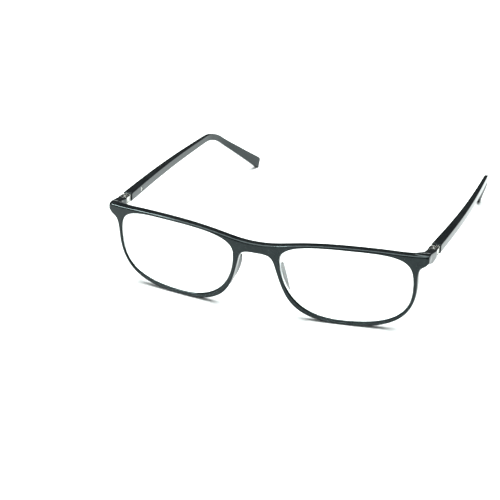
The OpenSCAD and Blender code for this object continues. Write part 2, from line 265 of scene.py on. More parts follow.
def half_outline(fine):
    """Left half of the front's outline, from the bridge's top round to its underside."""
    _, side, low, nose = lens_corners()
    rim_side = side + (RIM_SIDE, 0)
    rim_low = low - (0, RIM_LOW)
    rim_nose = nose + (-2.3, -2.1)
    bridge_low = BRIDGE_TOP_Z - BRIDGE_H
    chain = (
        ((0, BRIDGE_TOP_Z), (12.5, BRIDGE_TOP_Z), (16, BROW_Z), (43, BROW_Z), 24),
        ((43, BROW_Z), (55, BROW_Z), (56, END_TOP_Z), (HALF_W - 1.5, END_TOP_Z), 12),
        ((HALF_W - 1.5, END_TOP_Z), (HALF_W - 0.6, END_TOP_Z), (HALF_W, -1.7), (HALF_W, -2.8), 6),
        ((HALF_W, -2.8), (HALF_W, -4.9), (HALF_W - 1.1, -5.6), (HALF_W - 2.3, -6.3), 8),
        ((HALF_W - 2.3, -6.3), (HALF_W - 3.5, -7.1), (rim_side[0] + 0.1, -8.4), rim_side, 10),
        (rim_side, rim_side - (0, 19.8), rim_low + (16, 0), rim_low, 30),
        (rim_low, rim_low - (21, 0), rim_nose + (3.6, -12.9), rim_nose, 30),
        (rim_nose, rim_nose + (-1.1, 3.9), (4.6, bridge_low), (0, bridge_low), 14),
    )
    parts = [curve(a, b, c, d, max(3, round(n * fine))) for a, b, c, d, n in chain]
    return np.vstack(parts + [[(0, bridge_low)]])


def laid(line):
    """An outline seen square on, laid on the leaning, wrapped front."""
    wrap = line[:, 0] ** 2 / (2 * WRAP_R)
    return np.column_stack((line[:, 0], (line[:, 1] - wrap * math.sin(TILT)) / math.cos(TILT)))


# ---- Distances, in millimetres and negative inside ----

def outline_distance(points, line, open_end=False):
    """Signed distance in the plane from each point to a closed outline.

    With open_end the side from the last point to the first only closes the shape.
    """
    nearest = np.full(len(points), np.inf)
    inside = np.zeros(len(points), bool)
    x, z = points[:, 0], points[:, 1]
    for i, start in enumerate(line):
        end = line[(i + 1) % len(line)]
        run = end - start
        crossing = (start[1] > z) != (end[1] > z)
        if run[1] != 0:
            inside ^= crossing & (x < start[0] + run[0] * (z - start[1]) / run[1])
        if open_end and i == len(line) - 1:
            continue
        dx, dz = x - start[0], z - start[1]
        t = np.clip((dx * run[0] + dz * run[1]) / (run @ run), 0, 1)
        nearest = np.minimum(nearest, (dx - t * run[0]) ** 2 + (dz - t * run[1]) ** 2)
    return np.where(inside, -1, 1) * np.sqrt(nearest)


def rounded_meet(a, b, radius):
    """Where two shapes overlap, with the edge between them rounded."""
    a, b = a + radius, b + radius
    return np.hypot(np.maximum(a, 0), np.maximum(b, 0)) + np.minimum(np.maximum(a, b), 0) - radius


def blended(a, b, width):
    """Two shapes joined, with a fillet about width across."""
    share = np.clip(0.5 + 0.5 * (b - a) / width, 0, 1)
    return b + (a - b) * share - width * share * (1 - share)


def tapered_rod(points, start, end, start_r, end_r):
    """Distance to a rod with round ends whose radius changes evenly."""
    start, end = np.array(start), np.array(end)
    run = end - start
    t = np.clip(((points - start) @ run) / (run @ run), 0, 1)
    return np.linalg.norm(points - start - t[:, None] * run, axis=1) - start_r - t * (end_r - start_r)


def block(points, low, high):
    """Distance to a box between two corners."""
    low, high = np.array(low), np.array(high)
    gap = np.abs(points - (low + high) / 2) - (high - low) / 2
    return np.linalg.norm(np.maximum(gap, 0), axis=1) + np.minimum(gap.max(axis=1), 0)


def to_level(points):
    """Points of the front's own leaning frame, with x on the left side, in the level frame."""
    x, y, z = np.abs(points[:, 0]), points[:, 1], points[:, 2]
    c, s = math.cos(TILT), math.sin(TILT)
    return np.column_stack((x, y * c - z * s, y * s + z * c))


def end_block(level):
    """End piece behind the front."""
    inner = END_INNER_X
    plan = np.vstack((
        [(HALF_W, 10.2), (END_OUTER_X, END_REAR_Y), (inner, END_REAR_Y)],
        curve((inner, 16.8), (inner, 13.4), (inner - 2.4, 11.6), (inner - 7, 10.3), 16),
        [(inner - 7, 10.3), (inner - 7, 9.6)],
    ))
    profile = np.vstack((
        [(9.6, -0.95), (12.6, -0.6), (END_REAR_Y, BARREL_TOP_Z)],
        curve((END_REAR_Y, -4.5), (END_REAR_Y, -5.1), (19.2, END_LOW_Z + 0.3), (15.6, END_LOW_Z), 10),
        [(15.6, END_LOW_Z), (12.4, -4.9), (9.6, -3.6)],
    ))
    seen_above = outline_distance(level[:, [0, 1]], plan)
    seen_beside = outline_distance(level[:, [1, 2]], profile)
    return rounded_meet(seen_above, seen_beside, END_ROUND)


def nose_pad(level):
    """Moulded nose pad: a smooth fin of close ribs, from its root in the rim back to its ridge."""
    ridge_ends = (9.2, 9.9, -13.8), (12.8, 9.0, -24.8)
    root_ends = (9.4, 6.4, -13.0), (12.9, 7.0, -24.8)
    ridge = curve(ridge_ends[0], (9.5, 11.5, -17.0), (10.7, 11.5, -21.5), ridge_ends[1], PAD_RIBS)
    root = curve(root_ends[0], (10.2, 6.8, -17.0), (11.2, 7.0, -21.5), root_ends[1], PAD_RIBS)
    pad = tapered_rod(level, root[0], root[-1], PAD_R, PAD_R)
    for foot, top in zip(root, ridge):
        pad = blended(pad, tapered_rod(level, foot, top, PAD_R, PAD_R), RIB_BLEND)
    return pad


def flat_distances(x, z):
    """Distances in the plane of the front to its outline and to the lens opening."""
    seen = np.column_stack((np.abs(x), z))
    outer = outline_distance(seen, laid(half_outline(FINE)), open_end=True)
    return outer, outline_distance(seen, laid(lens_loop(round(LOOP_STEPS * FINE))))


def solid_distance(points, outer, hole):
    """Distance to the whole front at points of its own leaning frame, given the plane's distances."""
    x, y = points[:, 0], points[:, 1]
    depth = WRAP_R - np.hypot(x, WRAP_R - y)
    slab = np.abs(depth - RIM_DEPTH / 2) - RIM_DEPTH / 2
    shape = rounded_meet(outer, slab, OUTER_ROUND)

    level = to_level(points)
    end = level[:, 0] > HALF_W - END_REACH
    shape[end] = blended(shape[end], end_block(level[end]), END_BLEND)
    nose = level[:, 0] < NOSE_REACH
    shape[nose] = blended(shape[nose], nose_pad(level[nose]), PAD_BLEND)
    shape = rounded_meet(shape, -hole, OPENING_ROUND)

    slope = math.atan2(GROOVE, GROOVE_T / 2)
    off_middle = np.abs(depth - LENS_SET_BACK - LENS_T / 2)
    groove = (hole - GROOVE) * math.cos(slope) + off_middle * math.sin(slope)
    half_w, half_h = TANG_W / 2 + SEAT_FIT, TANG_H / 2 + SEAT_FIT
    pocket_low = (PIVOT_X - half_w, TANG_Y - SIDE_GAP, ROD_Z - half_h)
    pocket_high = (PIVOT_X + half_w, END_REAR_Y + 1, ROD_Z + half_h)
    shape[end] = np.maximum(shape[end], -block(level[end], pocket_low, pocket_high))
    return np.maximum(shape, -groove)


def front_distance(points):
    """Distance to the whole front at points of its own leaning frame."""
    return solid_distance(points, *flat_distances(points[:, 0], points[:, 2]))


# ---- Mesh from a distance ----

def sample_front(low, shape, step):
    """Distance to the front on a grid, slice by slice across its width."""
    x, y, z = (low[i] + step * np.arange(shape[i]) for i in range(3))
    flat = flat_distances(np.repeat(x, len(z)), np.tile(z, len(x)))
    outer, hole = (distance.reshape(len(x), len(z)) for distance in flat)
    values = np.empty(shape, np.float32)
    y_all, z_all = np.repeat(y, len(z)), np.tile(z, len(y))
    for i, at in enumerate(x):
        points = np.column_stack((np.full(len(y_all), at), y_all, z_all))
        slice_distance = solid_distance(points, np.tile(outer[i], len(y)), np.tile(hole[i], len(y)))
        values[i] = slice_distance.reshape(len(y), len(z))
    return values


def surface_net(values, low, step):
    """Quad mesh where values pass zero: one point in each cell that the surface crosses."""
    inside = values < 0
    corners = [(i, j, k) for i in (0, 1) for j in (0, 1) for k in (0, 1)]
    cell_shape = tuple(n - 1 for n in values.shape)

    def at_corner(grid, corner):
        return grid[tuple(slice(c, c + n) for c, n in zip(corner, cell_shape))]

    count = sum(at_corner(inside, c).astype(np.int8) for c in corners)
    crossed = (count > 0) & (count < 8)
    number = np.full(cell_shape, -1)
    number[crossed] = np.arange(crossed.sum())
    total = np.zeros((crossed.sum(), 3))
    hits = np.zeros(len(total))
    for a in corners:
        for axis in range(3):
            if a[axis]:
                continue
            b = tuple(c + (n == axis) for n, c in enumerate(a))
            value_a = at_corner(values, a)[crossed]
            value_b = at_corner(values, b)[crossed]
            cut = (value_a < 0) != (value_b < 0)
            share = value_a[cut] / (value_a[cut] - value_b[cut])
            total[cut] += np.array(a) + share[:, None] * (np.array(b) - np.array(a))
            hits[cut] += 1
    points = low + step * (np.argwhere(crossed) + total / hits[:, None])

    quads = []
    for axis in range(3):
        u, v = np.eye(3, dtype=int)[[(axis + 1) % 3, (axis + 2) % 3]]
        ahead = np.roll(inside, -1, axis=axis)
        change = inside != ahead
        change[tuple(slice(-1, None) if n == axis else slice(None) for n in range(3))] = False
        for leaving in (True, False):
            cells = np.argwhere(change & (inside == leaving))
            ring = (cells - u - v, cells - v, cells, cells - u)
            quad = np.column_stack([number[tuple(c.T)] for c in ring])
            quads.append(quad if leaving else quad[:, ::-1])
    return points, np.vstack(quads)


def gradient(points, reach):
    """Distance at each point and the direction in which it grows."""
    taps = np.array(((1, -1, -1), (-1, -1, 1), (-1, 1, -1), (1, 1, 1)), float)
    values = [front_distance(points + reach * tap) for tap in taps]
    slope = sum(value[:, None] * tap for value, tap in zip(values, taps)) / (4 * reach)
    return sum(values) / 4, slope


def unit(vectors):
    """Vectors of length one, a row each."""
    return vectors / np.linalg.norm(vectors, axis=1)[:, None]


def front_net():
    """Points, quads and normals of the front, in its own leaning frame.

    Two passes then move each point of the net on to the surface.
    """
    shape = tuple(np.ceil((NET_HIGH - NET_LOW) / NET_STEP).astype(int) + 1)
    points, quads = surface_net(sample_front(NET_LOW, shape, NET_STEP), NET_LOW, NET_STEP)
    reach, longest = NET_STEP / 8, NET_STEP / 2
    for _ in range(2):
        distance, slope = gradient(points, reach)
        move = distance / np.maximum((slope ** 2).sum(axis=1), 0.25)
        points = points - np.clip(move, -longest, longest)[:, None] * slope
    return points, quads, unit(gradient(points, reach)[1])


# ---- Mesh helpers ----

def new_object(name, points, faces):
    """An object with a mesh of these points and faces, in the scene."""
    mesh = bpy.data.meshes.new(name)
    mesh.from_pydata([tuple(p) for p in points], [], [tuple(f) for f in faces])
    obj = bpy.data.objects.new(name, mesh)
    bpy.context.scene.collection.objects.link(obj)
    return obj


def outward(obj):
    """Turns every face outwards."""
    shape = bmesh.new()
    shape.from_mesh(obj.data)
    bmesh.ops.recalc_face_normals(shape, faces=shape.faces)
    shape.to_mesh(obj.data)
    shape.free()
    return obj


def sweep(name, rings, closed=False):
    """Skin over rings of points, with flat ends, or joined end to start where closed."""
    count, size = len(rings), len(rings[0])
    points = [point for ring in rings for point in ring]
    spans = count if closed else count - 1
    faces = [
        (
            j * size + i,
            j * size + (i + 1) % size,
            (j + 1) % count * size + (i + 1) % size,
            (j + 1) % count * size + i,
        )
        for j in range(spans)
        for i in range(size)
    ]
    if not closed:
        faces += [tuple(range(size))[::-1], tuple(range((count - 1) * size, count * size))]
    return outward(new_object(name, points, faces))


def prism(name, outline, low, high, place):
    """Outline drawn in a plane, from low to high along the third direction.

    place puts (u, v, height) in the level frame.
    """
    return sweep(name, [[place(u, v, height) for u, v in outline] for height in (low, high)])


def along_x(y, z, x):
    """Places an outline seen from the side."""
    return (x, y, z)


def along_z(x, y, z):
    """Places an outline seen from above."""
    return (x, y, z)


def box(name, low, high):
    """Box between two corners."""
    outline = ((low[0], low[1]), (high[0], low[1]), (high[0], high[1]), (low[0], high[1]))
    return prism(name, outline, low[2], high[2], along_z)


def turned(name, profile, centre, axis, steps=40):
    """Turned part: profile is (radius, height) along axis, from one end of the axis to the other."""
    turn = Vector((0, 0, 1)).rotation_difference(Vector(axis)).to_matrix()
    rings = [
        [
            Vector(centre) + turn @ Vector((r * math.cos(a), r * math.sin(a), h))
            for a in (2 * math.pi * i / steps for i in range(steps))
        ]
        for r, h in profile
    ]
    return sweep(name, rings)


def apply_modifiers(obj):
    """Turns the result of an object's modifiers into its mesh."""
    depsgraph = bpy.context.evaluated_depsgraph_get()
    obj.data = bpy.data.meshes.new_from_object(obj.evaluated_get(depsgraph))
    obj.modifiers.clear()
    return obj


def combined(obj, tools, operation):
    """obj with the tools added ("UNION") or cut away ("DIFFERENCE")."""
    for tool in tools:
        step = obj.modifiers.new("shape", "BOOLEAN")
        step.operation = operation
        step.solver = "EXACT"
        step.object = tool
    apply_modifiers(obj)
    for tool in tools:
        bpy.data.objects.remove(tool)
    return obj


def edged(obj, width):
    """Small bevel on every sharp edge."""
    bevel = obj.modifiers.new("edge", "BEVEL")
    bevel.width = width
    bevel.segments = 2
    bevel.limit_method = "ANGLE"
    bevel.angle_limit = math.radians(32)
    return apply_modifiers(obj)


def arc(centre, radius, start, end, steps):
    """Points of an arc, angles in degrees, both ends included."""
    angles = np.radians(np.linspace(start, end, steps + 1))
    return [(centre[0] + radius * math.cos(a), centre[1] + radius * math.sin(a)) for a in angles]


def placed(obj, side):
    """Takes a level piece for the left side to its side of the frame."""
    obj.data.transform(LEVEL @ Matrix.Diagonal((side, 1, 1, 1)))
    if side == RIGHT:
        obj.data.flip_normals()
    return obj


def shaded(obj, sharp=35):
    """Smooth shading, with edges over the angle in degrees kept sharp."""
    obj.data.shade_smooth()
    obj.data.set_sharp_from_angle(angle=math.radians(sharp))
    even = obj.modifiers.new("even_shading", "WEIGHTED_NORMAL")
    even.keep_sharp = True
    return obj


def piece(obj, side, node, body, slot, *skins):
    """Puts a level piece in the frame in place of its CAD node; side 0 is a piece already placed."""
    if side:
        node = f"{node}_{SIDES[side]}"
        placed(obj, side)
    if body != "front":
        body = f"{SIDES[side]}_{body}"
    obj.name = f"{node}_piece"
    obj.data.name = obj.name
    for skin in skins:
        if skin.name not in obj.data.materials:
            obj.data.materials.append(skin)
    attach(obj, body)
    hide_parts(node)
    return obj


# ---- Materials ----

def material(name, colour, roughness, metallic=0.0):
    """A named material with its Principled shader and object coordinates."""
    made = bpy.data.materials.new(name)
    made.use_nodes = True
    nodes = made.node_tree.nodes
    shader = nodes["Principled BSDF"]
    shader.inputs["Base Color"].default_value = (*colour, 1)
    shader.inputs["Roughness"].default_value = roughness
    shader.inputs["Metallic"].default_value = metallic
    place = nodes.new("ShaderNodeTexCoord")
    return made, shader, place.outputs["Object"]


def noise(made, where, scale, detail=3.0, stretch=None):
    """Noise of a given number of waves per metre, stretched along an axis if asked."""
    tree = made.node_tree
    if stretch:
        mapping = tree.nodes.new("ShaderNodeMapping")
        mapping.inputs["Scale"].default_value = stretch
        tree.links.new(where, mapping.inputs["Vector"])
        where = mapping.outputs["Vector"]
    texture = tree.nodes.new("ShaderNodeTexNoise")
    texture.inputs["Scale"].default_value = scale
    texture.inputs["Detail"].default_value = detail
    tree.links.new(where, texture.inputs["Vector"])
    return texture.outputs["Fac"]


def vary_number(made, source, socket, low, high):
    """Drives a shader's number from noise, between two values."""
    tree = made.node_tree
    spread = tree.nodes.new("ShaderNodeMapRange")
    spread.inputs["From Min"].default_value = 0.3
    spread.inputs["From Max"].default_value = 0.7
    spread.inputs["To Min"].default_value = low
    spread.inputs["To Max"].default_value = high
    tree.links.new(source, spread.inputs["Value"])
    tree.links.new(spread.outputs["Result"], socket)


def vary_colour(made, source, socket, low, high):
    """Drives a shader's colour from noise, between two colours."""
    tree = made.node_tree
    ramp = tree.nodes.new("ShaderNodeValToRGB")
    ramp.color_ramp.elements[0].position = 0.3
    ramp.color_ramp.elements[0].color = (*low, 1)
    ramp.color_ramp.elements[1].position = 0.7
    ramp.color_ramp.elements[1].color = (*high, 1)
    tree.links.new(source, ramp.inputs["Fac"])
    tree.links.new(ramp.outputs["Color"], socket)


def bumpy(made, source, shader, height):
    """Raises the surface by noise, height in metres."""
    tree = made.node_tree
    bump = tree.nodes.new("ShaderNodeBump")
    bump.inputs["Strength"].default_value = 1.0
    bump.inputs["Distance"].default_value = height
    tree.links.new(source, bump.inputs["Height"])
    tree.links.new(bump.outputs["Normal"], shader.inputs["Normal"])


def black_plastic():
    """Polished black injection-moulded plastic: faint colour change, haze patches, slow ripple."""
    made, shader, where = material("polished_black_plastic", (0.006, 0.007, 0.008), 0.07)
    shader.inputs["IOR"].default_value = 1.53
    shader.inputs["Specular IOR Level"].default_value = 0.22
    shader.inputs["Specular Tint"].default_value = (0.76, 0.97, 1.0, 1)
    vary_colour(made, noise(made, where, 260), shader.inputs["Base Color"],
                (0.004, 0.0045, 0.005), (0.009, 0.0105, 0.011))
    vary_number(made, noise(made, where, 900, 5.0), shader.inputs["Roughness"], 0.05, 0.11)
    bumpy(made, noise(made, where, 320, 1.0), shader, 0.000012)
    return made


def clear_lens():
    """Clear acrylic lens with the faintest haze."""
    made, shader, where = material("clear_lens_acrylic", (0.985, 0.995, 0.99), 0.0)
    shader.inputs["IOR"].default_value = 1.49
    shader.inputs["Transmission Weight"].default_value = 1.0
    vary_number(made, noise(made, where, 60, 4.0), shader.inputs["Roughness"], 0.0, 0.02)
    return made


def ground_edge():
    """Edge of a lens as it comes off the grinding wheel: matt and pale."""
    made, shader, where = material("lens_ground_edge", (0.88, 0.92, 0.92), 0.5)
    shader.inputs["IOR"].default_value = 1.49
    vary_colour(made, noise(made, where, 1800), shader.inputs["Base Color"],
                (0.84, 0.88, 0.88), (0.94, 0.97, 0.97))
    vary_number(made, noise(made, where, 4000), shader.inputs["Roughness"], 0.35, 0.6)
    bumpy(made, noise(made, where, 9000), shader, 0.00001)
    return made


def plated_metal(name, dark, light, rough_low, rough_high, grain):
    """Nickel plated metal with a fine grain along the temples."""
    made, shader, where = material(name, light, rough_low, metallic=1.0)
    vary_colour(made, noise(made, where, 1500, 4.0), shader.inputs["Base Color"], dark, light)
    drawn = noise(made, where, 9000, 2.0, stretch=(1, grain, 1))
    vary_number(made, drawn, shader.inputs["Roughness"], rough_low, rough_high)
    bumpy(made, drawn, shader, 0.000004)
    return made


PLASTIC = black_plastic()
GLASS = clear_lens()
GROUND = ground_edge()
HINGE_METAL = plated_metal("hinge_nickel", (0.40, 0.40, 0.38), (0.58, 0.58, 0.55), 0.12, 0.27, 0.12)
SCREW_METAL = plated_metal("screw_nickel", (0.58, 0.57, 0.54), (0.76, 0.75, 0.72), 0.16, 0.28, 1.0)
PIN_METAL = plated_metal("pin_nickel", (0.46, 0.45, 0.43), (0.62, 0.61, 0.59), 0.24, 0.4, 1.0)
SPRING_METAL = plated_metal("spring_steel", (0.36, 0.37, 0.38), (0.54, 0.55, 0.57), 0.2, 0.35, 1.0)


# ---- Front ----

def add_front():
    """The moulded front: rims, bridge, end pieces and nose pads in one polished skin."""
    points, quads, normals = front_net()
    obj = new_object("front_frame_piece", points.tolist(), quads.tolist())
    place = LEVEL @ Matrix.Rotation(TILT, 4, "X")
    obj.data.transform(place)
    turn = np.array(place.to_3x3()) / MM
    obj.data.shade_smooth()
    obj.data.normals_split_custom_set_from_vertices((normals @ turn.T).tolist())
    piece(obj, 0, "front_frame", "front", "black_plastic", PLASTIC)


def lens_ring(loop, inset, depth, spread=1.0):
    """One ring of a lens: the loop drawn in by inset, shrunk to a share, at a depth of the wrap."""
    run = np.roll(loop, -1, axis=0) - np.roll(loop, 1, axis=0)
    out = np.column_stack((-run[:, 1], run[:, 0])) / np.linalg.norm(run, axis=1)[:, None]
    ring = loop - inset * out
    middle = (loop.max(axis=0) + loop.min(axis=0)) / 2
    ring = middle + (ring - middle) * spread
    y = WRAP_R - np.sqrt((WRAP_R - depth) ** 2 - ring[:, 0] ** 2)
    return np.column_stack((ring[:, 0], y, ring[:, 1]))


def add_lens(side):
    """A reading lens: bulged front and back, ground edge with the rib that sits in the groove."""
    loop = laid(lens_loop(LENS_STEPS))
    back = LENS_SET_BACK + LENS_T
    rib = back - LENS_T / 2
    half_rib = GROOVE_T / 2 - SEAT_FIT
    edge = [
        (SEAT_FIT + LENS_BEVEL, LENS_SET_BACK),
        (SEAT_FIT, LENS_SET_BACK + LENS_BEVEL),
        (SEAT_FIT, rib - half_rib),
        (SEAT_FIT - LENS_RIB_H, rib),
        (SEAT_FIT, rib + half_rib),
        (SEAT_FIT, back - LENS_BEVEL),
        (SEAT_FIT + LENS_BEVEL, back),
    ]
    shares = np.cos(np.radians(np.linspace(0, 88, LENS_RINGS)))
    front = [
        lens_ring(loop, SEAT_FIT + LENS_BEVEL, LENS_SET_BACK - FRONT_BULGE * (1 - s * s), s)
        for s in shares[:0:-1]
    ]
    rear = [
        lens_ring(loop, SEAT_FIT + LENS_BEVEL, back - BACK_BULGE * (1 - s * s), s)
        for s in shares[1:]
    ]
    rings = front + [lens_ring(loop, inset, depth) for inset, depth in edge] + rear
    obj = sweep("lens", rings)
    size = len(loop)
    first = len(front) * size
    last = (len(front) + len(edge) - 1) * size
    obj.data.materials.append(GLASS)
    obj.data.materials.append(GROUND)
    for face in obj.data.polygons:
        if len(face.vertices) == 4 and first <= min(face.vertices) and max(face.vertices) < last + size:
            face.material_index = 1
    obj.data.transform(Matrix.Rotation(TILT, 4, "X"))
    piece(obj, side, "lens", "front", "clear_lens")
    shaded(obj, 25)
    obj.visible_shadow = False


# ---- Hinge, front side ----

def bore(name, centre, axis, radius, start, end):
    """Round bar that cuts a hole, from start to end along the axis."""
    return turned(name, [(radius, start), (radius, end)], centre, axis)


def add_leaf(side):
    """Two knuckles on a square block, with the tang that the end piece holds."""
    plan = arc((PIVOT_X, PIVOT_Y), KNUCKLE_R, 0, 180, 40)
    plan += [(PIVOT_X - KNUCKLE_R, END_REAR_Y), (PIVOT_X + KNUCKLE_R, END_REAR_Y)]
    obj = prism("leaf", plan, BARREL_LOW_Z, BARREL_TOP_Z, along_z)
    tang_low = (PIVOT_X - TANG_W / 2, TANG_Y, ROD_Z - TANG_H / 2)
    tang_high = (PIVOT_X + TANG_W / 2, END_REAR_Y + 0.4, ROD_Z + TANG_H / 2)
    combined(obj, [box("tang", tang_low, tang_high)], "UNION")
    gap = TONGUE_H / 2 + SIDE_GAP
    slot_low = (PIVOT_X - 4, PIVOT_Y - KNUCKLE_R - 0.2, ROD_Z - gap)
    up = (0, 0, 1)
    foot = (PIVOT_X, PIVOT_Y, BARREL_LOW_Z)
    sink = BARREL_H - HEAD_H
    tools = [
        box("slot", slot_low, (PIVOT_X + 4, PIVOT_Y + 4, ROD_Z + gap)),
        bore("bore", foot, up, SCREW_R + RUN_FIT, -1, BARREL_H + 1),
        bore("sink", foot, up, HEAD_R + RUN_FIT, sink, BARREL_H + 1),
        bore("rivet_hole", (PIVOT_X - 3, RIVET_Y, ROD_Z), (1, 0, 0), RIVET_R, 0, 6),
    ]
    edged(combined(obj, tools, "DIFFERENCE"), LEAF_EDGE)
    shaded(piece(obj, side, "hinge_leaf", "front", "hinge_metal", HINGE_METAL))


def domed_head(r, depth):
    """Profile of a low domed head, of radius r from depth below its top."""
    return [(0.01, 0), (r * 0.5, 0.01), (r * 0.85, 0.05), (r, depth)]


def add_rivet(side):
    """Rivet that pins the leaf's tang, with a low domed head on the inner face of the end piece."""
    r = RIVET_R - SEAT_FIT
    length = RIVET_END_X - END_INNER_X
    profile = domed_head(r, 0.14) + [(r, length - 0.06), (r - 0.06, length)]
    obj = turned("rivet", profile, (END_INNER_X, RIVET_Y, ROD_Z), (1, 0, 0))
    shaded(piece(obj, side, "leaf_rivet", "front", "pin_metal", PIN_METAL))


def add_screw(side):
    """Slotted hinge screw: shank, flat head with a chamfer, slot for the driver."""
    top = BARREL_H + SIDE_GAP
    profile = [
        (SCREW_R - METAL_CHAMFER, 0),
        (SCREW_R, METAL_CHAMFER),
        (SCREW_R, top - HEAD_H),
        (HEAD_R, top - HEAD_H),
        (HEAD_R, top - 0.12),
        (HEAD_R - 0.05, top - 0.04),
        (HEAD_R - 0.16, top),
    ]
    obj = turned("screw", profile, (PIVOT_X, PIVOT_Y, BARREL_LOW_Z), (0, 0, 1), 56)
    slot_low = (PIVOT_X - 2, PIVOT_Y - DRIVER_SLOT_W / 2, BARREL_TOP_Z - DRIVER_SLOT_DEPTH)
    slot_high = (PIVOT_X + 2, PIVOT_Y + DRIVER_SLOT_W / 2, BARREL_TOP_Z + 1)
    combined(obj, [box("driver_slot", slot_low, slot_high)], "DIFFERENCE")
    shaded(piece(obj, side, "hinge_screw", "front", "screw_metal", SCREW_METAL), 28)


# ---- Hinge, temple side ----

def add_tongue(side):
    """Middle knuckle with the rod that slides in the housing."""
    r = KNUCKLE_R - SIDE_GAP
    half, cut = TONGUE_H / 2, METAL_CHAMFER
    profile = [(r - cut, -half), (r, -half + cut), (r, half - cut), (r - cut, half)]
    obj = turned("tongue", profile, (PIVOT_X, PIVOT_Y, ROD_Z), (0, 0, 1), 56)
    length = ROD_END_Y - PIVOT_Y
    rod = [(ROD_R, 1), (ROD_R, length - 0.1), (ROD_R - 0.1, length)]
    combined(obj, [turned("rod", rod, (PIVOT_X, PIVOT_Y, ROD_Z), (0, 1, 0))], "UNION")
    hole = bore("eye", (PIVOT_X, PIVOT_Y, ROD_Z), (0, 0, 1), SCREW_R + RUN_FIT, -2, 2)
    combined(obj, [hole], "DIFFERENCE")
    shaded(piece(obj, side, "hinge_tongue", "slider", "hinge_metal", HINGE_METAL))


def housing_outline(grow, start):
    """Side view of the housing, widened by grow, back from start: a bar with a rounded rear end."""
    r = HOUSING / 2 + grow
    return arc((ROUND_END_Y, ROD_Z), r, -90, 90, 24) + [(start, ROD_Z + r), (start, ROD_Z - r)]


def add_housing(side):
    """Spring housing: flange, bar with a rounded end, trough, slot for the rod and pin hole."""
    obj = prism("housing", housing_outline(0, TEMPLE_Y), HOUSING_X0, HOUSING_X0 + HOUSING, along_x)
    flange_low = (TEMPLE_X - FLANGE_W / 2, FLANGE_Y, BARREL_LOW_Z)
    flange_high = (TEMPLE_X + FLANGE_W / 2, FLANGE_Y + FLANGE_T + 0.001, BARREL_TOP_Z)
    combined(obj, [box("flange", flange_low, flange_high)], "UNION")
    trough_low = (PIVOT_X - TROUGH / 2, TEMPLE_Y + 0.001, ROD_Z - TROUGH / 2)
    trough_high = (PIVOT_X + HOUSING, TROUGH_END_Y, ROD_Z + TROUGH / 2)
    tools = [
        box("trough", trough_low, trough_high),
        bore("rod_hole", (PIVOT_X, FLANGE_Y, ROD_Z), (0, 1, 0), ROD_R + RUN_FIT, -1, FLANGE_T + 1),
        bore("pin_hole", (PIVOT_X - 4, PIN_Y, ROD_Z), (1, 0, 0), RIVET_R, 0, 8),
    ]
    edged(combined(obj, tools, "DIFFERENCE"), HOUSING_EDGE)
    shaded(piece(obj, side, "spring_housing", "arm", "hinge_metal", HINGE_METAL))


def add_spring(side):
    """Coil spring round the rod, between the flange and the retainer."""
    start = TEMPLE_Y + SPRING_WIRE_R + SEAT_FIT
    end = ROD_END_Y - RETAINER_T - SPRING_WIRE_R - SEAT_FIT
    along = Vector((0, 1, 0))
    per_turn, sides = 28, 10
    rings = []
    for j in range(SPRING_TURNS * per_turn + 1):
        a = 2 * math.pi * j / per_turn
        out = Vector((math.cos(a), 0, math.sin(a)))
        centre = Vector((PIVOT_X, start + (end - start) * j / (SPRING_TURNS * per_turn), ROD_Z))
        rings.append([
            centre + (SPRING_R + SPRING_WIRE_R * math.cos(b)) * out + SPRING_WIRE_R * math.sin(b) * along
            for b in (2 * math.pi * i / sides for i in range(sides))
        ])
    obj = sweep("spring", rings)
    shaded(piece(obj, side, "hinge_spring", "slider", "spring_wire", SPRING_METAL), 60)
    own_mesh(obj)


def add_retainer(side):
    """Collar fixed on the rod's end, with both rims chamfered."""
    outer, inner = TROUGH / 2 - SIDE_GAP, ROD_R + SEAT_FIT
    cut = 0.07
    profile = [
        (inner, 0),
        (outer - cut, 0),
        (outer, cut),
        (outer, RETAINER_T - cut),
        (outer - cut, RETAINER_T),
        (inner, RETAINER_T),
    ]
    steps = 40
    rings = [
        [
            Vector((PIVOT_X + r * math.cos(a), ROD_END_Y - RETAINER_T + h, ROD_Z + r * math.sin(a)))
            for r, h in profile
        ]
        for a in (2 * math.pi * i / steps for i in range(steps))
    ]
    obj = sweep("retainer", rings, closed=True)
    shaded(piece(obj, side, "spring_retainer", "slider", "pin_metal", PIN_METAL))


def add_pin(side):
    """Pin through the housing into the temple, its domed end flush on the inner face."""
    r = RIVET_R - SEAT_FIT
    profile = domed_head(r, 0.12) + [(r, PIN_LENGTH - METAL_CHAMFER), (r - METAL_CHAMFER, PIN_LENGTH)]
    obj = turned("pin", profile, (HOUSING_X0, PIN_Y, ROD_Z), (1, 0, 0))
    shaded(piece(obj, side, "housing_pin", "arm", "pin_metal", PIN_METAL))


# ---- Temples ----

def turned_in(y):
    """How far in the ear piece has turned at y."""
    run = max(0.0, y - TURN_START)
    reach = run * run / (2 * TURN_RUN) if run < TURN_RUN else run - TURN_RUN / 2
    return math.tan(EAR_IN) * reach


def turn_angle(y):
    """Angle at which the ear piece points in at y."""
    return math.atan(math.tan(EAR_IN) * min(1.0, max(0.0, y - TURN_START) / TURN_RUN))


def middle_x(y):
    """Middle line of a temple seen from above: the arm bows outwards, the ear piece turns in."""
    bow = math.sin(math.pi * min(1.0, max(0.0, y - TEMPLE_Y) / ARM_LEN))
    return TEMPLE_X + ARM_BOW * bow - turned_in(y)


